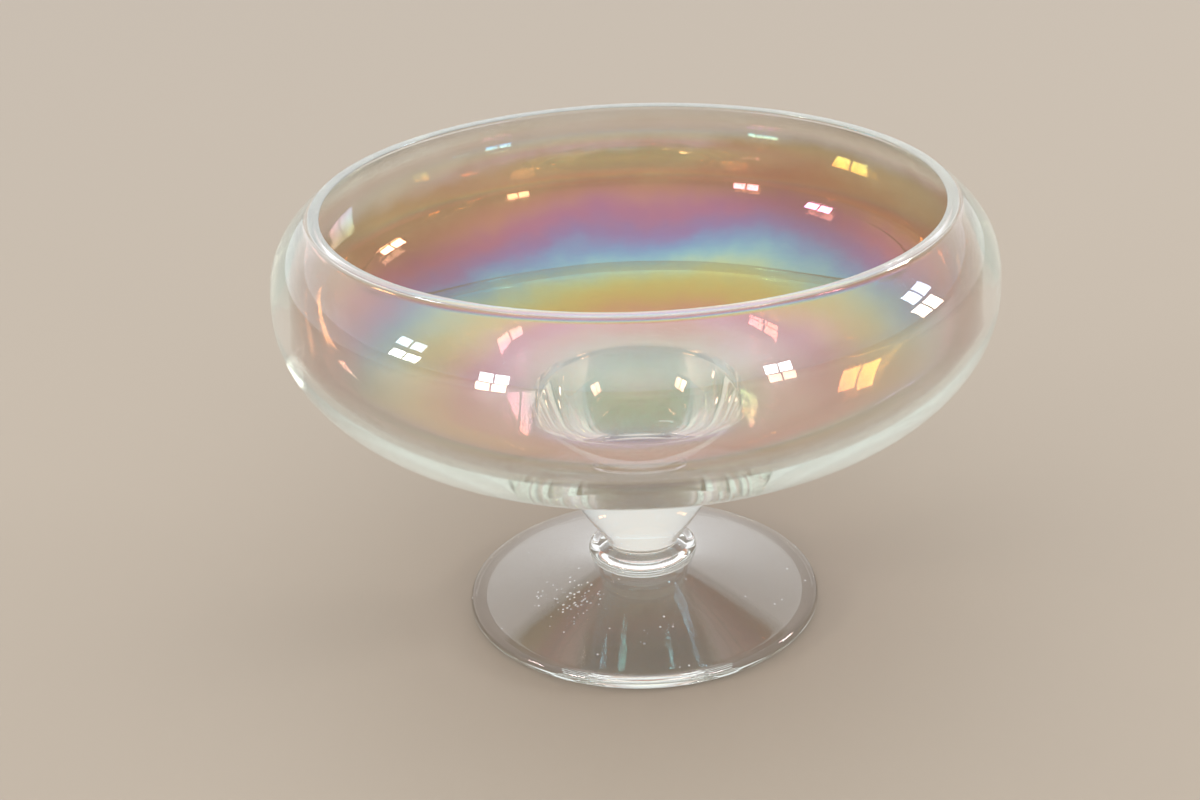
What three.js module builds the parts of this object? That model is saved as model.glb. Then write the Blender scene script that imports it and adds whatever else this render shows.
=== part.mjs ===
// Footed art glass bowl: a squat blown bowl on a flared stem, a collar and a spread foot.
// Millimetres, +Z up, the origin on the table under the middle of the foot.
//
// A glassblower makes it as four gathers of glass on one axis and fuses them while hot,
// from the table up: foot, collar, stem, bowl. Each gather is one turned solid here, and
// each fused joint is a pair of equal flat faces at one height.

import * as THREE from 'three';

// ---- Foot: a thin round disc, a little conical, hollow underneath ----
const FOOT_RADIUS = 52;
const FOOT_EDGE_THICKNESS = 4.6;
const FOOT_HEIGHT = 14; // table to the joint with the collar
const FOOT_SAG = 1.2; // how far the top dips below a straight cone
const FOOT_REST_WIDTH = 3; // flat ring that touches the table
const FOOT_HOLLOW_HEIGHT = 9; // rise of the underside in the middle
const FOOT_HOLLOW_RADIUS = 12; // flat middle of the underside

// ---- Collar: a round-edged ring of glass between foot and stem ----
const COLLAR_RADIUS = 16;
const COLLAR_THICKNESS = 5.5;

// ---- Stem: solid glass, slim at the collar and flared under the bowl ----
const STEM_LENGTH = 40.5;
const STEM_NECK_RADIUS = 10.5;
const STEM_TOP_RADIUS = 30;
const STEM_NECK_LENGTH = 3; // how long the neck stays slim
const STEM_SWELL_RADIUS = 22.5; // the point that the flare leans towards
const STEM_SWELL_HEIGHT = 13.5;

// ---- Bowl: round belly, incurved shoulder, flat ground rim ----
const BOWL_RADIUS = 100; // at the widest
const BELLY_DEPTH = 42.3; // base to the widest place
const SHOULDER_HEIGHT = 24.7; // widest place to the rim
const MOUTH_RADIUS = 84.8; // inner edge of the rim
const RIM_WALL = 3.2;
const SIDE_WALL = 3.4;
const BASE_WALL = 4.5;
const INNER_FLAT_RADIUS = 24; // flat middle of the inside
const RIM_BEVEL = 0.4; // small bevel left by grinding
const BELLY_FULLNESS = 2.1; // 2 is an ellipse, more is squarer
const SHOULDER_FULLNESS = 2.9; // 1 is a straight cone, more turns in later

// ---- Heights above the table that the pieces share ----
const COLLAR_BASE = FOOT_HEIGHT;
const STEM_BASE = COLLAR_BASE + COLLAR_THICKNESS;
const BOWL_BASE = STEM_BASE + STEM_LENGTH;
const WIDEST_HEIGHT = BOWL_BASE + BELLY_DEPTH;
const RIM_HEIGHT = WIDEST_HEIGHT + SHOULDER_HEIGHT;
const COLLAR_FLAT_RADIUS = COLLAR_RADIUS - COLLAR_THICKNESS / 2;

// ---- How finely the round shapes are divided ----
const TURNS = 64;
const BELLY_STEPS = 11;
const SHOULDER_STEPS = 6;
const CURVE_STEPS = 6;

const at = (radius, height) => new THREE.Vector2(radius, height);

// Turns an outline of (radius, height) points around the vertical axis. The outline goes
// up the outside and comes back down the inside, from the axis to the axis.
function turned(name, outline, material) {
  const geometry = new THREE.LatheGeometry(outline, TURNS);
  geometry.rotateX(Math.PI / 2); // a lathe turns about Y, and the bowl stands along Z
  const mesh = new THREE.Mesh(geometry, material);
  mesh.name = name;
  return mesh;
}

function glass(name, colour, roughness) {
  return new THREE.MeshStandardMaterial({ name, color: colour, roughness, metalness: 0 });
}

// Belly: a superellipse from the flat base up to the widest place.
function bellyCurve(flatRadius, baseHeight, widestRadius) {
  const points = [];
  for (let step = 0; step <= BELLY_STEPS; step += 1) {
    const turn = (Math.PI / 2) * (step / BELLY_STEPS);
    const reach = Math.sin(turn) ** (2 / BELLY_FULLNESS);
    const radius = flatRadius + (widestRadius - flatRadius) * reach;
    points.push(at(radius, WIDEST_HEIGHT - (WIDEST_HEIGHT - baseHeight) * Math.cos(turn)));
  }
  return points;
}

// Shoulder: leaves the widest place upright and turns in towards the rim.
function shoulderCurve(widestRadius, endRadius, endHeight) {
  const points = [];
  for (let step = 1; step <= SHOULDER_STEPS; step += 1) {
    const rise = step / SHOULDER_STEPS;
    const radius = widestRadius - (widestRadius - endRadius) * rise ** SHOULDER_FULLNESS;
    points.push(at(radius, WIDEST_HEIGHT + (endHeight - WIDEST_HEIGHT) * rise));
  }
  return points;
}

function makeBowl() {
  const rimOuter = MOUTH_RADIUS + RIM_WALL;
  const bevelHeight = RIM_HEIGHT - RIM_BEVEL;
  const outside = [
    ...bellyCurve(STEM_TOP_RADIUS, BOWL_BASE, BOWL_RADIUS),
    ...shoulderCurve(BOWL_RADIUS, rimOuter, bevelHeight),
  ];
  const rim = [at(rimOuter - RIM_BEVEL, RIM_HEIGHT), at(MOUTH_RADIUS + RIM_BEVEL, RIM_HEIGHT)];
  const innerRadius = BOWL_RADIUS - SIDE_WALL;
  const inside = [
    ...bellyCurve(INNER_FLAT_RADIUS, BOWL_BASE + BASE_WALL, innerRadius),
    ...shoulderCurve(innerRadius, MOUTH_RADIUS, bevelHeight),
  ];
  const outline = [at(0, BOWL_BASE), ...outside, ...rim, ...inside.reverse()];
  outline.push(at(0, BOWL_BASE + BASE_WALL));
  return turned('bowl', outline, glass('iridescent_glass', 0xc9c3b8, 0.04));
}

function makeStem() {
  const outline = new THREE.Path();
  outline.moveTo(0, STEM_BASE);
  outline.lineTo(STEM_NECK_RADIUS, STEM_BASE);
  outline.bezierCurveTo(
    STEM_NECK_RADIUS, STEM_BASE + STEM_NECK_LENGTH,
    STEM_SWELL_RADIUS, STEM_BASE + STEM_SWELL_HEIGHT,
    STEM_TOP_RADIUS, BOWL_BASE,
  );
  outline.lineTo(0, BOWL_BASE);
  return turned('stem', outline.getPoints(CURVE_STEPS), glass('pearly_glass', 0xd9dad6, 0.06));
}

function makeCollar() {
  const edge = COLLAR_THICKNESS / 2;
  const outline = new THREE.Path();
  outline.moveTo(0, COLLAR_BASE);
  outline.lineTo(COLLAR_FLAT_RADIUS, COLLAR_BASE);
  outline.absarc(COLLAR_FLAT_RADIUS, COLLAR_BASE + edge, edge, -Math.PI / 2, Math.PI / 2);
  outline.lineTo(0, STEM_BASE);
  return turned('collar', outline.getPoints(CURVE_STEPS), glass('clear_glass', 0xdcdcd6, 0.04));
}

// The foot's top runs from the collar to the round edge. Its underside rises from the
// resting ring beside the top, so the glass keeps one thickness, to a flat middle.
function makeFoot() {
  const edge = FOOT_EDGE_THICKNESS / 2;
  const edgeCentre = FOOT_RADIUS - edge;
  const middleRadius = (COLLAR_FLAT_RADIUS + edgeCentre) / 2;
  const middleHeight = (FOOT_HEIGHT + FOOT_EDGE_THICKNESS) / 2 - FOOT_SAG;
  const restInner = edgeCentre - FOOT_REST_WIDTH;
  const hollowRadius = (FOOT_HOLLOW_RADIUS + restInner) / 2;
  const hollowHeight = FOOT_HOLLOW_HEIGHT / 2 - FOOT_SAG;
  const outline = new THREE.Path();
  outline.moveTo(0, FOOT_HOLLOW_HEIGHT);
  outline.lineTo(FOOT_HOLLOW_RADIUS, FOOT_HOLLOW_HEIGHT);
  outline.quadraticCurveTo(hollowRadius, hollowHeight, restInner, 0);
  outline.lineTo(edgeCentre, 0);
  outline.absarc(edgeCentre, edge, edge, -Math.PI / 2, Math.PI / 2);
  outline.quadraticCurveTo(middleRadius, middleHeight, COLLAR_FLAT_RADIUS, FOOT_HEIGHT);
  outline.lineTo(0, FOOT_HEIGHT);
  return turned('foot', outline.getPoints(CURVE_STEPS), glass('clear_glass', 0xbdb6ab, 0.04));
}

const artGlassBowl = new THREE.Group();
artGlassBowl.name = 'art_glass_bowl';
artGlassBowl.add(makeFoot(), makeCollar(), makeStem(), makeBowl());

export default artGlassBowl;
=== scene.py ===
# %% [markdown]
# # A footed art glass bowl
#
# The bowl is clear blown glass under a shimmering metal-oxide film. It is made the way a
# glassblower makes it, as four gathers on one axis: foot, collar, stem and bowl. The CAD
# frame gives every height and width, and this script makes the smooth glass around it.
# All lengths are in metres, so a length in millimetres is written as a number times MM.

import math

import bpy
from mathutils import Euler, Matrix, Vector


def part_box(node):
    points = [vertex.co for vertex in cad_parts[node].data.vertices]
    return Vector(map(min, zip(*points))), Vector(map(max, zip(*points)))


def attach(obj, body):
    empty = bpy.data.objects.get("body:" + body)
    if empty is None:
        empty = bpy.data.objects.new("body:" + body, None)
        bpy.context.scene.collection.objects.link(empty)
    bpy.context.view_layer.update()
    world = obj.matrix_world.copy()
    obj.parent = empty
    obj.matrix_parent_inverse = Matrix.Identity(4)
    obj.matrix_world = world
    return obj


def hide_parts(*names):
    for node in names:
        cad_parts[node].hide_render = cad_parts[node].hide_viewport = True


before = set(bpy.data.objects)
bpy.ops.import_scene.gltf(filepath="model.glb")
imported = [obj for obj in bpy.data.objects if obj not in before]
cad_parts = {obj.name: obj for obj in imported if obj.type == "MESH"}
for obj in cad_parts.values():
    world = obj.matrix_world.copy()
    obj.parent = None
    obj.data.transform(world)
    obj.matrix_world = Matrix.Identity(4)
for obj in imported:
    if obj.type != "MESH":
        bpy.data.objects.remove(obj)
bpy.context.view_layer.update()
MM = 0.001
print("nodes:", sorted(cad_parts))

# %% [markdown]
# ## The sizes that the glass takes from the frame
#
# Each CAD node's box gives its heights and its widest radius. They could be typed in again
# here, but then the glass would no longer follow when the CAD changes.

# %% Heights and radii of the four gathers
FOOT_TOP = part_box("foot")[1].z
FOOT_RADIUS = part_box("foot")[1].x
STEM_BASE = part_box("stem")[0].z
STEM_TOP_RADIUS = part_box("stem")[1].x
COLLAR_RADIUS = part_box("collar")[1].x
BOWL_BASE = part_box("bowl")[0].z
RIM_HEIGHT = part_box("bowl")[1].z
BOWL_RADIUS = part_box("bowl")[1].x
print("bowl from", round(BOWL_BASE / MM, 1), "to", round(RIM_HEIGHT / MM, 1), "mm")
print("stem from", round(STEM_BASE / MM, 1), "mm, foot", round(FOOT_TOP / MM, 1), "mm high")

# %% [markdown]
# ## Turning an outline
#
# Blown glass is round because it is turned while it is soft. A round piece could also be
# pushed out of a sphere or a cylinder, but a turned outline keeps the wall's thickness under
# control at every height. So a single point is extruded along half of the section, and the
# line is spun once around the axis.


# %% Deselect everything
def start_alone():
    """Leaves edit mode and deselects all, so that the next operator acts on new work only."""
    if bpy.context.object and bpy.context.object.mode != "OBJECT":
        bpy.ops.object.mode_set(mode="OBJECT")
    bpy.ops.object.select_all(action="DESELECT")


start_alone()
print("selected:", len(bpy.context.selected_objects))

# %% [markdown]
# A plane merged to its centre is the single point. After the spin, the first and the last
# line lie on each other and the points on the axis are all in one place, so the doubles are
# merged before the faces are turned outwards.

# %% The lathe
SPIN_STEPS = 160
DOUBLES_WITHIN = 0.002 * MM


def turn_outline(name, outline):
    """Draws (radius, height) points as a line from the axis to the axis and spins it round."""
    start_alone()
    bpy.ops.mesh.primitive_plane_add(size=MM, location=(0, 0, 0))
    piece = bpy.context.object
    piece.name = name
    piece.data.name = name
    bpy.ops.object.mode_set(mode="EDIT")
    bpy.ops.mesh.merge(type="CENTER")
    bpy.ops.transform.translate(value=(outline[0][0], 0, outline[0][1]))
    for (r0, z0), (r1, z1) in zip(outline, outline[1:]):
        bpy.ops.mesh.extrude_region_move(TRANSFORM_OT_translate={"value": (r1 - r0, 0, z1 - z0)})
    bpy.ops.mesh.select_all(action="SELECT")
    bpy.ops.mesh.spin(steps=SPIN_STEPS, angle=math.tau, center=(0, 0, 0), axis=(0, 0, 1))
    bpy.ops.mesh.select_all(action="SELECT")
    bpy.ops.mesh.remove_doubles(threshold=DOUBLES_WITHIN)
    bpy.ops.mesh.normals_make_consistent(inside=False)
    bpy.ops.object.mode_set(mode="OBJECT")
    bpy.ops.object.shade_smooth()
    print(name, len(piece.data.vertices), "vertices,", len(piece.data.polygons), "faces")
    return piece


print("steps around the axis:", SPIN_STEPS)

# %% [markdown]
# Two kinds of curve recur in the outlines: a soft blend between two places, as glass makes
# when it sags, and a round edge, as a flame leaves.


# %% Curves for the outlines
def blend_points(start, pull, end, steps):
    """Points on a curve that leaves start towards pull and arrives at end (start left out)."""
    points = []
    for step in range(1, steps + 1):
        t = step / steps
        a, b, c = (1 - t) ** 2, 2 * t * (1 - t), t * t
        points.append(tuple(a * s + b * p + c * e for s, p, e in zip(start, pull, end)))
    return points


def round_edge(centre, radius, start_angle, end_angle, steps):
    """Points on an arc of the section, angles in degrees from straight out."""
    points = []
    for step in range(steps + 1):
        angle = math.radians(start_angle + (end_angle - start_angle) * step / steps)
        points.append((centre[0] + radius * math.cos(angle), centre[1] + radius * math.sin(angle)))
    return points


print("a quarter round edge has", len(round_edge((0, 0), MM, 0, 90, 4)), "points")

# %% [markdown]
# ## Bowl
#
# The bubble was blown, pressed squat and opened. Its belly is a superellipse that rises from
# the flat joint with the stem, and its shoulder leaves the widest place upright and turns in
# to the mouth. A plain ellipse would look too thin at the lower edge, and a straight cone
# would put a corner at the widest place.

# %% Belly and shoulder curves
BELLY_DEPTH = 42.3 * MM
BELLY_FULLNESS = 2.1  # 2 is an ellipse, more is squarer
SHOULDER_FULLNESS = 2.9  # 1 is a straight cone, more turns in later
BELLY_STEPS = 44
SHOULDER_STEPS = 24
WIDEST_HEIGHT = BOWL_BASE + BELLY_DEPTH


def belly_points(flat, base, widest):
    """Points from the flat base up to the widest place."""
    points = []
    for step in range(BELLY_STEPS + 1):
        turn = math.pi / 2 * step / BELLY_STEPS
        reach = math.sin(turn) ** (2 / BELLY_FULLNESS)
        height = WIDEST_HEIGHT - (WIDEST_HEIGHT - base) * math.cos(turn)
        points.append((flat + (widest - flat) * reach, height))
    return points


def shoulder_points(widest, end_radius, end_height):
    """Points from just above the widest place to the mouth."""
    points = []
    for step in range(1, SHOULDER_STEPS + 1):
        rise = step / SHOULDER_STEPS
        radius = widest - (widest - end_radius) * rise**SHOULDER_FULLNESS
        points.append((radius, WIDEST_HEIGHT + (end_height - WIDEST_HEIGHT) * rise))
    return points


print("widest at", round(WIDEST_HEIGHT / MM, 1), "mm")

# %% [markdown]
# The wall is the room between two such outlines. It could be given by a Solidify modifier,
# but a real wall isn't even: it is thinnest at the rim and thickest at the base. The rim was
# cut off cold and ground flat, with a small bevel on each edge.

# %% Make the bowl
MOUTH_RADIUS = 84.8 * MM
RIM_WALL = 3.2 * MM
SIDE_WALL = 3.4 * MM
BASE_WALL = 4.5 * MM
INNER_FLAT = 24 * MM
RIM_BEVEL = 0.4 * MM
BEVEL_STEPS = 4
FLAT_STEPS = (0, 0.25, 0.5, 0.75)

bevel_height = RIM_HEIGHT - RIM_BEVEL
rim_outer = MOUTH_RADIUS + RIM_WALL
inner_widest = BOWL_RADIUS - SIDE_WALL
inner_base = BOWL_BASE + BASE_WALL
outside = belly_points(STEM_TOP_RADIUS, BOWL_BASE, BOWL_RADIUS)
outside += shoulder_points(BOWL_RADIUS, rim_outer, bevel_height)
inside = belly_points(INNER_FLAT, inner_base, inner_widest)
inside += shoulder_points(inner_widest, MOUTH_RADIUS, bevel_height)
# The arcs start 15 degrees up, since at 0 they would repeat the wall's last point.
rim = round_edge((rim_outer - RIM_BEVEL, bevel_height), RIM_BEVEL, 15, 90, BEVEL_STEPS)
rim += round_edge((MOUTH_RADIUS + RIM_BEVEL, bevel_height), RIM_BEVEL, 90, 165, BEVEL_STEPS)
under_flat = [(STEM_TOP_RADIUS * share, BOWL_BASE) for share in FLAT_STEPS]
inner_flat = [(INNER_FLAT * share, inner_base) for share in FLAT_STEPS]
bowl = turn_outline("bowl_glass", under_flat + outside + rim + inside[::-1] + inner_flat[::-1])

# %% [markdown]
# The film follows the glass, not the room. A gradient over the height would squeeze its
# bands where the wall lies flat. So the bowl carries two numbers of its own at each point:
# how far down the wall from the rim it lies, and whether it is on the inner skin.


# %% Measure down the wall
def wall_distance(points):
    """(radius, height, distance) from the first point along a line of the section."""
    rows, walked = [], 0.0
    for here, before in zip(points, [points[0]] + points[:-1]):
        walked += math.dist(here, before)
        rows.append((here[0], here[1], walked))
    return rows


outer_rows = wall_distance(outside[::-1] + under_flat[::-1])
inner_rows = wall_distance(inside[::-1] + inner_flat[::-1])
WALL_LENGTH = inner_rows[-1][2]
print("wall length inside", round(WALL_LENGTH / MM, 1), "mm")

# %% [markdown]
# Each vertex is looked up by its radius and height, in steps of a hundredth of a millimetre.
# The few points on the rim's bevels belong to neither skin and get a half.


# %% Mark the wall
def mark_wall(piece):
    """Stores each point's distance from the rim in metres, and 1 on the inner skin."""
    lookup = {}
    for skin, rows in ((1.0, inner_rows), (0.0, outer_rows)):
        for radius, height, walked in rows:
            lookup[(round(radius / MM, 2), round(height / MM, 2))] = (walked, skin)
    down = piece.data.attributes.new("down_the_wall", "FLOAT", "POINT")
    skin_mark = piece.data.attributes.new("inner_skin", "FLOAT", "POINT")
    missed = 0
    for vertex in piece.data.vertices:
        radius = round(math.hypot(vertex.co.x, vertex.co.y) / MM, 2)
        height = round(vertex.co.z / MM, 2)
        near = [(round(radius + a / 100, 2), round(height + b / 100, 2))
                for a in (0, -1, 1) for b in (0, -1, 1)]
        found = next((lookup[key] for key in near if key in lookup), None)
        missed += found is None
        walked, skin = found or (0.0, 0.5)
        down.data[vertex.index].value = walked
        skin_mark.data[vertex.index].value = skin
    print("points on the wall:", len(piece.data.vertices) - missed, "on the rim:", missed)


mark_wall(bowl)

# %% [markdown]
# ## Stem
#
# The stem is solid glass, drawn out slim at the collar and flared where it carries the bowl.
# Its side is one curve with two handles, like a drawn-out thread of honey, and a small fillet
# is left where hot glass ran into the corner of the joint.

# %% Make the stem
NECK_RADIUS = 10.5 * MM
NECK_LENGTH = 3 * MM
SWELL_RADIUS = 22.5 * MM
SWELL_HEIGHT = 13.5 * MM
STEM_STEPS = 40
JOINT_FILLET = 2.5 * MM
FILLET_REACH = 0.6  # how far the fillet spreads, as a share of its height
FUSE = 0.05 * MM  # how deep fused pieces reach into each other, so light passes the joint

neck = (NECK_RADIUS, STEM_BASE)
neck_pull = (NECK_RADIUS, STEM_BASE + NECK_LENGTH)
swell_pull = (SWELL_RADIUS, STEM_BASE + SWELL_HEIGHT)
flare = (STEM_TOP_RADIUS, BOWL_BASE)
handles = (neck, neck_pull, swell_pull, flare)
stem_side = []
for step in range(STEM_STEPS + 1):
    t = step / STEM_STEPS
    weights = ((1 - t) ** 3, 3 * t * (1 - t) ** 2, 3 * t * t * (1 - t), t**3)
    radius = sum(w * h[0] for w, h in zip(weights, handles))
    height = sum(w * h[1] for w, h in zip(weights, handles))
    climb = max(0.0, 1 - (BOWL_BASE - height) / JOINT_FILLET)
    spread = JOINT_FILLET * FILLET_REACH * (1 - math.sqrt(1 - climb * climb))
    stem_side.append((radius + spread, height))
stem_head = stem_side[-1][0]
stem_outline = [(0, STEM_BASE - FUSE), (NECK_RADIUS, STEM_BASE - FUSE)] + stem_side
stem_outline += [(stem_head, BOWL_BASE + FUSE), (0, BOWL_BASE + FUSE)]
stem = turn_outline("stem_glass", stem_outline)

# %% [markdown]
# ## Collar
#
# The collar, or merese, is a small wafer of glass pressed between stem and foot. Heat and
# surface tension leave it with a round edge, so its side is half a circle. A squashed torus
# would do as well, but would leave a hole in the middle.

# %% Make the collar
EDGE_STEPS = 24
collar_edge = (STEM_BASE - FOOT_TOP) / 2
collar_flat = COLLAR_RADIUS - collar_edge
collar_middle = (collar_flat, FOOT_TOP + collar_edge)
collar_outline = [(0, FOOT_TOP - FUSE), (collar_flat, FOOT_TOP - FUSE)]
collar_outline += round_edge(collar_middle, collar_edge, -90, 90, EDGE_STEPS)
collar_outline += [(NECK_RADIUS, STEM_BASE), (0, STEM_BASE)]
collar = turn_outline("collar_glass", collar_outline)

# %% [markdown]
# ## Foot
#
# The foot was spun out while hot. Its edge is thick and round from the flame, its top rises to
# the collar, and its underside rises beside the top from a narrow resting ring. With a flat
# underside the foot would be a lens and a mirror. With even glass, the table shows through it
# as it is.

# %% Make the foot
FOOT_EDGE = 4.6 * MM
FOOT_SAG = 1.2 * MM
FOOT_REST_WIDTH = 3 * MM
FOOT_HOLLOW = 9 * MM
FOOT_HOLLOW_RADIUS = 12 * MM

edge = FOOT_EDGE / 2
edge_centre = FOOT_RADIUS - edge
rest_inner = edge_centre - FOOT_REST_WIDTH
top_pull = ((collar_flat + edge_centre) / 2, (FOOT_TOP + FOOT_EDGE) / 2 - FOOT_SAG)
under_pull = ((FOOT_HOLLOW_RADIUS + rest_inner) / 2, FOOT_HOLLOW / 2 - FOOT_SAG)
hollow_edge = (FOOT_HOLLOW_RADIUS, FOOT_HOLLOW)
foot_outline = [(0, FOOT_HOLLOW), (FOOT_HOLLOW_RADIUS / 2, FOOT_HOLLOW), hollow_edge]
foot_outline += blend_points(hollow_edge, under_pull, (rest_inner, 0), EDGE_STEPS)
foot_outline += [(rest_inner + FOOT_REST_WIDTH / 2, 0)]
foot_outline += round_edge((edge_centre, edge), edge, -90, 90, EDGE_STEPS)
foot_outline += blend_points((edge_centre, FOOT_EDGE), top_pull, (collar_flat, FOOT_TOP), EDGE_STEPS)
foot_outline += [(collar_flat / 2, FOOT_TOP), (0, FOOT_TOP)]
foot = turn_outline("foot_glass", foot_outline)

# %% [markdown]
# ## Fused joints
#
# Where two gathers are fused there is no surface left between them. The four pieces could be
# joined into one mesh, but then they would no longer be pieces. Two closed meshes still have
# faces in the joint, so these faces are marked, and the materials give them the index of air
# and no film: they neither bend nor mirror light.


# %% Mark the fused faces
def mark_joints(piece, joints):
    """Stores 1 on the level faces inside a joint, each given as (height, radius)."""
    fused = piece.data.attributes.new("fused", "FLOAT", "FACE")
    count = 0
    for face in piece.data.polygons:
        corners = [piece.data.vertices[index].co for index in face.vertices]
        reach = max(math.hypot(corner.x, corner.y) for corner in corners)
        level = abs(face.normal.z) > 0.9
        in_joint = any(abs(face.center.z - height) < 2 * FUSE and reach < radius + FUSE
                       for height, radius in joints)
        fused.data[face.index].value = float(level and in_joint)
        count += level and in_joint
    print(piece.name, "fused faces:", count)


mark_joints(bowl, [(BOWL_BASE, STEM_TOP_RADIUS)])
mark_joints(stem, [(BOWL_BASE, stem_head), (STEM_BASE, NECK_RADIUS)])
mark_joints(collar, [(STEM_BASE, NECK_RADIUS), (FOOT_TOP, collar_flat)])
mark_joints(foot, [(FOOT_TOP, collar_flat)])

# %% [markdown]
# ## Materials
#
# All four gathers are soda-lime glass: index 1.5, very smooth from the flame, with a faint
# grey-green of its own that shows only where the eye looks along the wall. Each piece has one
# material all over. A second material on the rim would start a second body of glass there,
# and light that entered through one and left through the other would lose its way.


# %% Colours and empty materials
def linear(hex_colour):
    """sRGB hex to the linear RGBA that the shader works in."""
    parts = [int(hex_colour[i : i + 2], 16) / 255 for i in (1, 3, 5)]
    return tuple(p / 12.92 if p <= 0.04045 else ((p + 0.055) / 1.055) ** 2.4 for p in parts) + (1,)


def new_material(name):
    """A material with an empty node tree apart from its output."""
    material = bpy.data.materials.new(name)
    material.use_nodes = True
    material.node_tree.nodes.clear()
    material.node_tree.nodes.new("ShaderNodeOutputMaterial")
    return material


WHITE = linear("#ffffff")
print("middle grey in linear light:", round(linear("#808080")[0], 3))

# %% [markdown]
# A material is a chain of nodes. One helper adds a node of any kind, gives it its settings,
# and fills each input with a number or with a link from an earlier node. Another joins the
# finished surface, and the glass inside it, to the output.


# %% Add and join nodes
def add_node(owner, kind, inputs=(), **settings):
    """Adds one node, gives it its settings, and fills or links its inputs."""
    tree = owner.node_tree
    made = tree.nodes.new(kind)
    for setting, value in settings.items():
        setattr(made, setting, value)
    for socket, value in dict(inputs).items():
        if isinstance(value, bpy.types.NodeSocket):
            tree.links.new(value, made.inputs[socket])
        else:
            made.inputs[socket].default_value = value
    return made


def finish_material(material, surface, volume=None):
    """Joins the surface and the body of the material to its output."""
    output = material.node_tree.nodes["Material Output"]
    material.node_tree.links.new(surface.outputs[0], output.inputs["Surface"])
    if volume:
        material.node_tree.links.new(volume.outputs[0], output.inputs["Volume"])
    print(material.name, "has", len(material.node_tree.nodes), "nodes")


# %% [markdown]
# Iron in the sand leaves soda glass a faint grey-green. It is absorption inside the body,
# not paint on the skin, so 4 mm of wall stays clear and a long look along the wall is green.

# %% What all the glass shares
GLASS_INDEX = 1.5
AIR_INDEX = 1.0
FIRE_POLISH = 0.015  # roughness of a skin that was melted smooth
GLASS_TINT = "#d2dbcc"
GLASS_TINT_DENSITY = 5.0  # per metre
head_on = ((GLASS_INDEX - AIR_INDEX) / (GLASS_INDEX + AIR_INDEX)) ** 2
print("each skin mirrors", round(head_on * 100, 1), "% of the light that meets it head on")

# %% [markdown]
# ### Film on the bowl
#
# The hot bowl was sprayed with tin and titanium salts, which leave a clear oxide film of
# index about 2. Light mirrored by its two faces interferes, so its colour tells its thickness.
# The bands could be painted with a colour ramp alone, but painted bands don't change with
# the angle. So the shader is given the film's thickness and works out the colours: almost
# none at the rim, then gold, red, violet, blue, green, yellow and pink down the wall.

# %% How thick the film is
INNER_FILM_INDEX = 2.1
OUTER_FILM_INDEX = 1.62  # the outer skin caught less spray, and mirrors less
THICKEST_FILM = 362.0  # nanometres, at the bottom of the bowl
OUTER_FILM_LEFT = 70.0
OUTER_FILM_RIGHT = 165.0
FILM_GROWTH = [  # (share of the way down the wall, share of the thickest film)
    (0.00, 0.02),
    (0.10, 0.12),
    (0.16, 0.26),
    (0.26, 0.33),
    (0.34, 0.37),
    (0.38, 0.41),
    (0.46, 0.54),
    (0.50, 0.60),
    (0.62, 0.71),
    (1.00, 1.00),
]
print("film from", round(FILM_GROWTH[0][1] * THICKEST_FILM), "to", THICKEST_FILM, "nm")

# %% [markdown]
# Spray doesn't fall evenly. Broad clouds of about 60 mm push the bands up and down by a few
# millimetres, and a fine mottle of about 9 mm frays them. The bands also lie a little higher
# on the right, where the bowl was turned to the spray.

# %% Where the film lies
CLOUD_SCALE = 16.0
CLOUD_SHIFT = 0.022
MOTTLE_SCALE = 110.0
MOTTLE_SHIFT = 0.006
SPRAY_LEAN = 0.06  # metres down the wall for each metre to the right

film_glass = new_material("iridescent_blown_glass")
down = add_node(film_glass, "ShaderNodeAttribute", attribute_name="down_the_wall")
skin = add_node(film_glass, "ShaderNodeAttribute", attribute_name="inner_skin")
place = add_node(film_glass, "ShaderNodeTexCoord")
axes = add_node(film_glass, "ShaderNodeSeparateXYZ", {"Vector": place.outputs["Object"]})
film_place = down.outputs["Fac"]
for scale, detail, shift in ((CLOUD_SCALE, 2.0, CLOUD_SHIFT), (MOTTLE_SCALE, 3.0, MOTTLE_SHIFT)):
    cloud = add_node(film_glass, "ShaderNodeTexNoise",
                     {"Vector": place.outputs["Object"], "Scale": scale, "Detail": detail})
    wander = add_node(film_glass, "ShaderNodeMath",
                      {0: cloud.outputs[0], 1: 0.5}, operation="SUBTRACT")
    drift = add_node(film_glass, "ShaderNodeMath",
                     {0: wander.outputs[0], 1: shift, 2: film_place}, operation="MULTIPLY_ADD")
    film_place = drift.outputs[0]
lean = add_node(film_glass, "ShaderNodeMath",
                {0: axes.outputs["X"], 1: SPRAY_LEAN, 2: film_place}, operation="MULTIPLY_ADD")
share = add_node(film_glass, "ShaderNodeMapRange",
                 {"Value": lean.outputs[0], "From Min": 0.0, "From Max": WALL_LENGTH})
print("the bands wander by", CLOUD_SHIFT / 2 / MM, "mm at most")

# %% [markdown]
# A curve turns the place on the wall into the film's thickness. The outer skin has its own,
# thinner film, and the fused faces have none.

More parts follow.
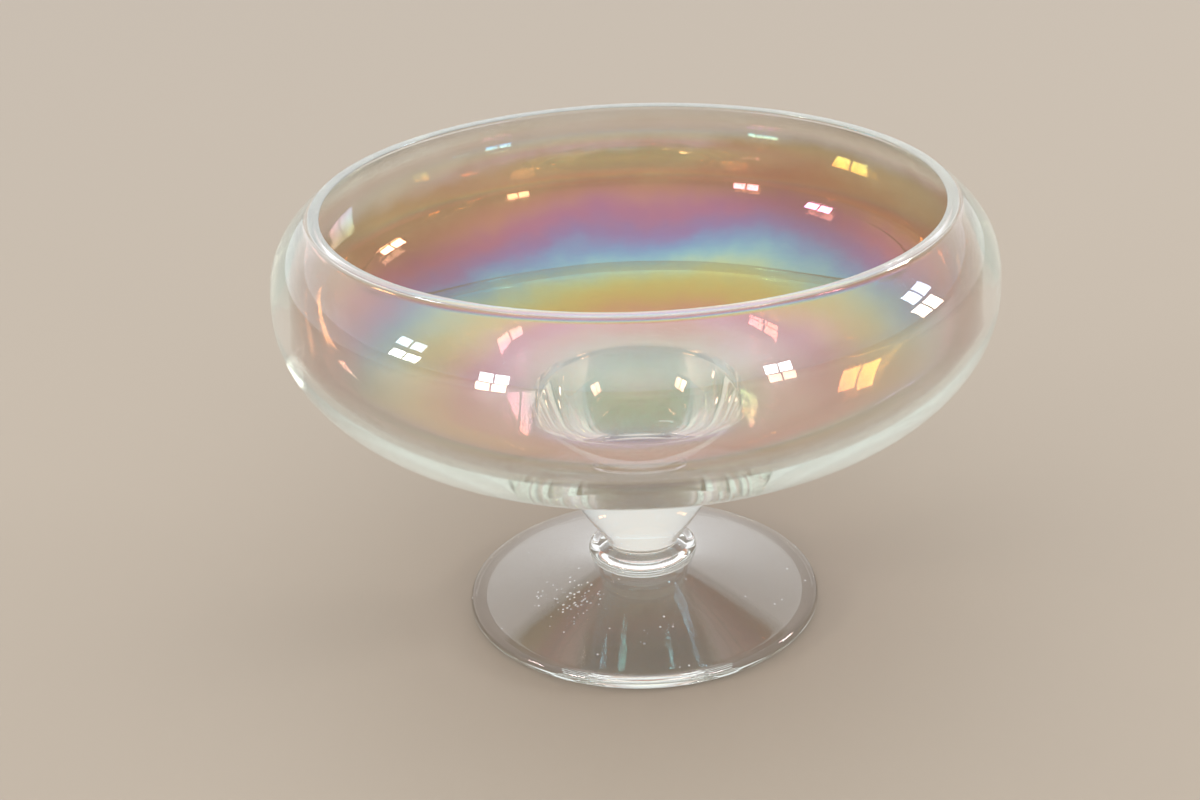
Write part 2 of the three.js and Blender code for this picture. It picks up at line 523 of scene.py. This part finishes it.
# %% Thickness of the film at each place
growth = add_node(film_glass, "ShaderNodeFloatCurve", {"Value": share.outputs[0]})
curve = growth.mapping.curves[0]
curve.points[0].location = FILM_GROWTH[0]
curve.points[1].location = FILM_GROWTH[-1]
for point in FILM_GROWTH[1:-1]:
    curve.points.new(*point)
growth.mapping.update()
inner_film = add_node(film_glass, "ShaderNodeMath",
                      {0: growth.outputs[0], 1: THICKEST_FILM}, operation="MULTIPLY")
outer_film = add_node(film_glass, "ShaderNodeMapRange",
                      {"Value": axes.outputs["X"], "From Min": -BOWL_RADIUS,
                       "From Max": BOWL_RADIUS, "To Min": OUTER_FILM_LEFT,
                       "To Max": OUTER_FILM_RIGHT})
film_index = add_node(film_glass, "ShaderNodeMapRange",
                      {"Value": skin.outputs["Fac"], "To Min": OUTER_FILM_INDEX,
                       "To Max": INNER_FILM_INDEX})
film = add_node(film_glass, "ShaderNodeMix",
                {0: skin.outputs["Fac"], 2: outer_film.outputs[0], 3: inner_film.outputs[0]},
                data_type="FLOAT")
fused = add_node(film_glass, "ShaderNodeAttribute", attribute_name="fused")
film_here = add_node(film_glass, "ShaderNodeMapRange",
                     {"Value": fused.outputs["Fac"], "To Min": film.outputs[0], "To Max": 0.0})
body_index = add_node(film_glass, "ShaderNodeMapRange",
                      {"Value": fused.outputs["Fac"], "To Min": GLASS_INDEX, "To Max": AIR_INDEX})
print("points on the growth curve:", len(curve.points))

# %% [markdown]
# Over a dark table the film's colours look deep. Over a pale floor they wash out, since the
# light from below drowns what the film mirrors. So the colours that the film mirrors are painted
# on the inner skin as a tint: a painted reflection, with painted shade that stands in for the
# dark table. It isn't physical, unlike the film itself. It is stronger on the far wall than on the
# near one.

# %% Painted reflection and shade on the inner skin
# How much of the painted reflection and shade the near wall keeps, and where it grows to full.
NEAR_WALL_PAINTED_REFLECTION = 0.2
PAINTED_REFLECTION_STARTS = -0.9 * BOWL_RADIUS  # across the bowl, from the near side
PAINTED_REFLECTION_FULL = 0.3 * BOWL_RADIUS
PAINTED_FILM_REFLECTION = [  # (share of the way down the wall, colour)
    (0.00, "#fafaf8"),
    (0.11, "#ece6da"),
    (0.17, "#bd9669"),
    (0.26, "#a2694a"),
    (0.31, "#96584f"),
    (0.35, "#84605e"),
    (0.385, "#807765"),
    (0.42, "#878763"),
    (0.47, "#98935c"),
    (0.53, "#a98e4f"),
    (0.58, "#b07852"),
    (0.63, "#ab5f5f"),
    (0.72, "#d6a592"),
    (0.84, "#e0d4bc"),
    (1.00, "#e6e2d8"),
]
# A ramp of painted reflection colours, with painted shade, down the wall.
tint = add_node(film_glass, "ShaderNodeValToRGB", {"Fac": share.outputs[0]})
ramp = tint.color_ramp
ramp.interpolation = "EASE"
while len(ramp.elements) < len(PAINTED_FILM_REFLECTION):
    ramp.elements.new(0.5)
for element, (position, colour) in zip(ramp.elements, PAINTED_FILM_REFLECTION):
    element.position = position
    element.color = linear(colour)
# The painted reflection is stronger on the far wall than on the near one.
far_wall_painted_reflection = add_node(film_glass, "ShaderNodeMapRange",
                   {"Value": axes.outputs["Y"], "From Min": PAINTED_REFLECTION_STARTS,
                    "From Max": PAINTED_REFLECTION_FULL, "To Min": NEAR_WALL_PAINTED_REFLECTION, "To Max": 1.0},
                   interpolation_type="SMOOTHSTEP")
painted_reflection_here = add_node(film_glass, "ShaderNodeMath",
                     {0: skin.outputs["Fac"], 1: far_wall_painted_reflection.outputs[0]}, operation="MULTIPLY")
painted_reflection_colour = add_node(film_glass, "ShaderNodeMix",
                  {0: painted_reflection_here.outputs[0], 6: WHITE, 7: tint.outputs["Color"]},
                  data_type="RGBA")
print("tints:", len(ramp.elements))

# %% [markdown]
# ### Skin and rim of the bowl
#
# The skin carries slow ripples from the blowing, about 36 mm long and a tenth of a millimetre
# high. The ground rim is satin: it starts where the bevels start, so its height picks it out.
# The oxide also scatters a little light, which shows only where the eye runs along the skin.

# %% Ripples, ground rim and haze
RIPPLE_SCALE = 28.0
RIPPLE_HEIGHT = 0.12 * MM
RIPPLE_STRENGTH = 0.5
GROUND_ROUGHNESS = 0.14
GROUND_CLEARNESS = 0.9
HAZE_STARTS = 0.60  # how far the skin has turned away where the haze starts
HAZE_CLEARNESS = 0.72  # what is left clear at the very edge
GRIND_BLEND = 0.02 * MM

waves = add_node(film_glass, "ShaderNodeTexNoise",
                 {"Vector": place.outputs["Object"], "Scale": RIPPLE_SCALE, "Detail": 1.0})
ripple = add_node(film_glass, "ShaderNodeBump",
                  {"Height": waves.outputs[0], "Distance": RIPPLE_HEIGHT,
                   "Strength": RIPPLE_STRENGTH})
ground = add_node(film_glass, "ShaderNodeMapRange",
                  {"Value": axes.outputs["Z"], "From Min": bevel_height - GRIND_BLEND,
                   "From Max": bevel_height + GRIND_BLEND})
polish = add_node(film_glass, "ShaderNodeMapRange",
                  {"Value": ground.outputs[0], "To Min": FIRE_POLISH, "To Max": GROUND_ROUGHNESS})
along_the_skin = add_node(film_glass, "ShaderNodeLayerWeight", {"Blend": 0.5})
haze = add_node(film_glass, "ShaderNodeMapRange",
                {"Value": along_the_skin.outputs["Facing"], "From Min": HAZE_STARTS,
                 "From Max": 1.0, "To Min": 1.0, "To Max": HAZE_CLEARNESS})
clearness = add_node(film_glass, "ShaderNodeMapRange",
                     {"Value": ground.outputs[0], "To Min": haze.outputs[0],
                      "To Max": GROUND_CLEARNESS})
print("ground above", round(bevel_height / MM, 2), "mm")

# %% [markdown]
# One shader brings it together: clear glass whose film, painted reflection and polish come from
# the nodes above. The faint sheen is the light that the oxide scatters back.

# %% Iridescent blown glass
SHEEN = 0.2
SHEEN_ROUGHNESS = 0.35
SHEEN_TINT = "#e6ecdf"
glass = add_node(film_glass, "ShaderNodeBsdfPrincipled",
                 {"Base Color": painted_reflection_colour.outputs[2], "Roughness": polish.outputs[0],
                  "IOR": body_index.outputs[0], "Transmission Weight": clearness.outputs[0],
                  "Normal": ripple.outputs[0], "Thin Film Thickness": film_here.outputs[0],
                  "Thin Film IOR": film_index.outputs[0], "Sheen Weight": SHEEN,
                  "Sheen Roughness": SHEEN_ROUGHNESS, "Sheen Tint": linear(SHEEN_TINT)})
body_tint = add_node(film_glass, "ShaderNodeVolumeAbsorption",
                     {"Color": linear(GLASS_TINT), "Density": GLASS_TINT_DENSITY})
finish_material(film_glass, glass, body_tint)

# %% [markdown]
# ### Clear glass of stem, collar and foot
#
# The other three gathers are the same glass without the bands. The stem and the foot caught
# a breath of the spray, a film too thin for colours that only makes them a little pearly.
# The collar was shielded between them and has none.


# %% Clear glass
CLEAR_RIPPLE_SCALE = 60.0
CLEAR_RIPPLE_HEIGHT = 0.1 * MM


def clear_glass(name, film_nm, film_index):
    """Fire-polished clear glass with a film; returns the material and its main nodes."""
    material = new_material(name)
    place = add_node(material, "ShaderNodeTexCoord")
    fused = add_node(material, "ShaderNodeAttribute", attribute_name="fused")
    body_index = add_node(material, "ShaderNodeMapRange",
                          {"Value": fused.outputs["Fac"], "To Min": GLASS_INDEX,
                           "To Max": AIR_INDEX})
    waves = add_node(material, "ShaderNodeTexNoise",
                     {"Vector": place.outputs["Object"], "Scale": CLEAR_RIPPLE_SCALE,
                      "Detail": 1.0})
    ripple = add_node(material, "ShaderNodeBump",
                      {"Height": waves.outputs[0], "Distance": CLEAR_RIPPLE_HEIGHT,
                       "Strength": RIPPLE_STRENGTH})
    glass = add_node(material, "ShaderNodeBsdfPrincipled",
                     {"Base Color": WHITE, "Roughness": FIRE_POLISH,
                      "IOR": body_index.outputs[0], "Transmission Weight": 1.0,
                      "Normal": ripple.outputs[0], "Thin Film Thickness": 0.0,
                      "Thin Film IOR": film_index})
    if film_nm:
        film_here = add_node(material, "ShaderNodeMapRange",
                             {"Value": fused.outputs["Fac"], "To Min": film_nm, "To Max": 0.0})
        material.node_tree.links.new(film_here.outputs[0], glass.inputs["Thin Film Thickness"])
    body = add_node(material, "ShaderNodeVolumeAbsorption",
                    {"Color": linear(GLASS_TINT), "Density": GLASS_TINT_DENSITY})
    finish_material(material, glass, body)
    return material, {"place": place, "fused": fused, "glass": glass}


stem_material, stem_nodes = clear_glass("pearly_stem_glass", 195.0, 1.9)
collar_material, _ = clear_glass("clear_collar_glass", 0.0, 1.6)
foot_material, foot_nodes = clear_glass("clear_foot_glass", 165.0, 1.6)

# %% [markdown]
# The stem gathers the light of the whole room, like a lens, and would come out whiter than
# anything around it. A pale grey painted on its skin, as painted shade, holds a quarter
# back. The fused faces stay white, since a joint is no skin and gets no painted shade.

# %% Painted shade on the stem
# A pale grey painted on the stem's skin: painted shade against the light it gathers.
STEM_PAINTED_SHADE = "#dfe0de"
stem_painted_shade_here = add_node(stem_material, "ShaderNodeMix",
                     {0: stem_nodes["fused"].outputs["Fac"], 6: linear(STEM_PAINTED_SHADE), 7: WHITE},
                     data_type="RGBA")
stem_material.node_tree.links.new(stem_painted_shade_here.outputs[2], stem_nodes["glass"].inputs["Base Color"])
print("stem lets through", round(linear(STEM_PAINTED_SHADE)[0] * 100), "%")

# %% [markdown]
# ### Marks of use on the foot
#
# The foot has small white nicks and dried specks, most of them in a patch beside the collar.
# They could be tiny pieces of their own, but a nick has no height. So Voronoi cells about a
# millimetre across each hold one round speck, and noise decides which cells keep theirs.

# %% Where the specks lie
SCUFF_PATCH = Vector((-22, -15, 8)) * MM
PATCH_HEART = 4 * MM
PATCH_EDGE = 15 * MM
SPECK_SPACING = 1.2 * MM
CLUSTER_SIZE = 5 * MM
SPECK_EDGE = 0.36  # share of a cell where the speck starts
SPECK_HEART = 0.26  # share of a cell where it is fully white
# A cell keeps its speck if its own number and the noise add up to more than this.
PATCH_BAR = 1.12
BARE_BAR = 1.62

foot_place = foot_nodes["place"].outputs["Object"]
scatter = add_node(foot_material, "ShaderNodeTexVoronoi",
                   {"Vector": foot_place, "Scale": 1 / SPECK_SPACING})
speck = add_node(foot_material, "ShaderNodeMapRange",
                 {"Value": scatter.outputs["Distance"], "From Min": SPECK_EDGE,
                  "From Max": SPECK_HEART})
chosen = add_node(foot_material, "ShaderNodeSeparateColor", {"Color": scatter.outputs["Color"]})
from_patch = add_node(foot_material, "ShaderNodeVectorMath",
                      {0: foot_place, 1: SCUFF_PATCH}, operation="DISTANCE")
clusters = add_node(foot_material, "ShaderNodeTexNoise",
                    {"Vector": foot_place, "Scale": 1 / CLUSTER_SIZE, "Detail": 1.0})
few = add_node(foot_material, "ShaderNodeMapRange",
               {"Value": from_patch.outputs["Value"], "From Min": PATCH_HEART,
                "From Max": PATCH_EDGE, "To Min": PATCH_BAR, "To Max": BARE_BAR})
fewer = add_node(foot_material, "ShaderNodeMath",
                 {0: few.outputs[0], 1: clusters.outputs[0]}, operation="SUBTRACT")
kept = add_node(foot_material, "ShaderNodeMath",
                {0: chosen.outputs[0], 1: fewer.outputs[0]}, operation="GREATER_THAN")
print("specks about", round(2 * SPECK_EDGE * SPECK_SPACING / MM, 1), "mm across")

# %% [markdown]
# A nick is crushed glass: rough, and too broken to see through.

# %% White specks
SPECK_ROUGHNESS = 0.5
SPECK_CLEARNESS = 0.3
mark = add_node(foot_material, "ShaderNodeMath",
                {0: speck.outputs[0], 1: kept.outputs[0]}, operation="MULTIPLY")
dull = add_node(foot_material, "ShaderNodeMapRange",
                {"Value": mark.outputs[0], "To Min": FIRE_POLISH, "To Max": SPECK_ROUGHNESS})
opened = add_node(foot_material, "ShaderNodeMapRange",
                  {"Value": mark.outputs[0], "To Min": 1.0, "To Max": SPECK_CLEARNESS})
foot_links = foot_material.node_tree.links
foot_links.new(dull.outputs[0], foot_nodes["glass"].inputs["Roughness"])
foot_links.new(opened.outputs[0], foot_nodes["glass"].inputs["Transmission Weight"])
print("foot glass has", len(foot_material.node_tree.nodes), "nodes")

# %% [markdown]
# ## Dressing the pieces
#
# Each smooth piece gets its glass, rides on the one body that the bowl has, and stands in for
# its CAD node. The hidden CAD nodes get the same glass, so that nothing plain is left.

# %% Dress the pieces
for piece, material, node, slot in (
    (bowl, film_glass, "bowl", "iridescent_glass"),
    (stem, stem_material, "stem", "pearly_glass"),
    (collar, collar_material, "collar", "collar_glass"),
    (foot, foot_material, "foot", "clear_glass"),
):
    piece.data.materials.append(material)
    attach(piece, "root")
    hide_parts(node)
    for cad_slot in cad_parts[node].material_slots:
        cad_slot.material = material
    print(piece.name, "is", material.name)

# %% [markdown]
# ## Floor, light and camera
#
# Glass shows what is around it. A film this thin only reads when something broad and soft
# is mirrored in it, so a large pale sky stands over the bowl, brighter on the far side and
# overhead, and four small window lights give the sharp gleams. The floor is a plain matt
# paint, wide enough that its edge never shows.

# %% Floor
FLOOR_SIZE = 40
floor_material = new_material("pale_floor_paint")
floor_paint = add_node(floor_material, "ShaderNodeBsdfPrincipled",
                       {"Base Color": linear("#a89b8b"), "Roughness": 0.6})
finish_material(floor_material, floor_paint)
start_alone()
bpy.ops.mesh.primitive_plane_add(size=FLOOR_SIZE, location=(0, 0, 0))
floor = bpy.context.object
floor.name = "floor"
floor.data.materials.append(floor_material)
print("floor", FLOOR_SIZE, "m wide")

# %% [markdown]
# An even sky would leave the glass without any shape. So two soft glows are added, each
# where a direction lies close to the middle of the glow: a white wall behind the bowl and a
# pale ceiling over the near side.

# %% Soft sky
SKY_COLOUR = "#f4f5f7"
EVEN_LIGHT = 0.7
# Each glow: its direction, closeness where it starts, closeness where it is full, strength.
WHITE_WALL = (Vector((-0.25, 0.90, 0.35)), -0.05, 0.80, 0.75)
PALE_CEILING = (Vector((0.05, -0.55, 0.85)), 0.40, 0.96, 1.0)

world = bpy.data.worlds.new("studio_air")
bpy.context.scene.world = world
world.use_nodes = True
sky = world.node_tree.nodes["Background"]
gaze = add_node(world, "ShaderNodeTexCoord")
light_so_far = EVEN_LIGHT
for facing, start_of_glow, heart_of_glow, glow in (WHITE_WALL, PALE_CEILING):
    toward = add_node(world, "ShaderNodeVectorMath",
                      {0: gaze.outputs["Generated"], 1: facing.normalized()},
                      operation="DOT_PRODUCT")
    lobe = add_node(world, "ShaderNodeMapRange",
                    {"Value": toward.outputs["Value"], "From Min": start_of_glow,
                     "From Max": heart_of_glow, "To Min": 0.0, "To Max": glow},
                    interpolation_type="SMOOTHSTEP")
    total = add_node(world, "ShaderNodeMath",
                     {0: light_so_far, 1: lobe.outputs[0]}, operation="ADD")
    light_so_far = total.outputs[0]
sky.inputs["Color"].default_value = linear(SKY_COLOUR)
world.node_tree.links.new(light_so_far, sky.inputs["Strength"])
print("sky from", EVEN_LIGHT, "up to about", EVEN_LIGHT + PALE_CEILING[-1])

# %% [markdown]
# A window is two panes with a bar between them, so each light is a pair of upright
# rectangles. Round lamps would make dots, which say nothing about the glass's curves.

# %% Window lights
WINDOW_AIM = Vector((0, 0, 90)) * MM  # the middle of the bowl
PANE_APART = 0.53 * 1.1  # from the window's middle to a pane's, in pane widths


def window_light(name, azimuth, elevation, distance, width, height, power, colour):
    """A two-pane window; azimuth in degrees from the near side, turning to the right."""
    turn, rise = math.radians(azimuth), math.radians(elevation)
    flat = math.cos(rise)
    away = Vector((math.sin(turn) * flat, -math.cos(turn) * flat, math.sin(rise)))
    sideways = Vector((math.cos(turn), math.sin(turn), 0))
    for pane, side in (("left_pane", -1), ("right_pane", 1)):
        light = bpy.data.lights.new(name + "_" + pane, "AREA")
        light.shape = "RECTANGLE"
        light.size = width / 2
        light.size_y = height
        light.energy = power / 2
        light.color = linear(colour)[:3]
        lamp = bpy.data.objects.new(light.name, light)
        bpy.context.scene.collection.objects.link(lamp)
        lamp.location = WINDOW_AIM + away * distance + sideways * side * PANE_APART * width / 2
        lamp.rotation_euler = (-away).to_track_quat("-Z", "Y").to_euler()
    print(name, power, "W at", distance, "m")


window_light("far_left_window", -73, 17, 1.6, 0.26, 0.21, 5, "#fffdf8")
window_light("near_left_window", -43, 5, 2.0, 0.30, 0.30, 6, "#fff6e6")
window_light("near_right_window", 40, 7, 2.0, 0.26, 0.30, 4, "#fff0ea")
window_light("far_right_window", 97, 17, 1.6, 0.28, 0.28, 7, "#fbfdff")

# %% [markdown]
# The camera looks down into the bowl at 25 degrees, from a little over half a metre away. It
# is rolled by 2.4 degrees, because the real bowl leans a little on its stem, as hand-made
# glass does.

# %% Camera
CAMERA_PITCH = 25.0
CAMERA_ROLL = -2.4
CAMERA_DISTANCE = 563 * MM
AIM_SIDE = -10.9 * MM
AIM_RISE = 59.1 * MM
camera_data = bpy.data.cameras.new("camera")
camera_data.sensor_width = 36
camera_data.lens = 56.04
camera = bpy.data.objects.new("camera", camera_data)
bpy.context.scene.collection.objects.link(camera)
pitch = math.radians(CAMERA_PITCH)
forward = Vector((0, math.cos(pitch), -math.sin(pitch)))
upward = Vector((0, math.sin(pitch), math.cos(pitch)))
camera.location = -forward * CAMERA_DISTANCE + Vector((AIM_SIDE, 0, 0)) + upward * AIM_RISE
level = Euler((math.pi / 2 - pitch, 0, 0)).to_matrix()
camera.rotation_euler = (level @ Matrix.Rotation(math.radians(CAMERA_ROLL), 3, "Z")).to_euler()
bpy.context.scene.camera = camera
print("camera at", [round(c, 3) for c in camera.location])

# %% [markdown]
# The Standard view keeps the film's colours as they are worked out. A filmic view would grey
# the bands.

# %% Colours as seen
bpy.context.scene.view_settings.view_transform = "Standard"
bpy.context.scene.view_settings.exposure = -0.1
print("view:", bpy.context.scene.view_settings.view_transform)

# %% [markdown]
# Light that enters the edge of a wall runs along inside it for dozens of bounces before it
# leaves, as in a glass fibre. That makes the edges pale. A ray that is cut short comes back
# black, so the limits are set far above the usual ones.

# %% Light paths
MOST_BOUNCES = 200
bpy.context.scene.cycles.max_bounces = MOST_BOUNCES
bpy.context.scene.cycles.transmission_bounces = MOST_BOUNCES
bpy.context.scene.cycles.glossy_bounces = MOST_BOUNCES
print("bounces:", MOST_BOUNCES)
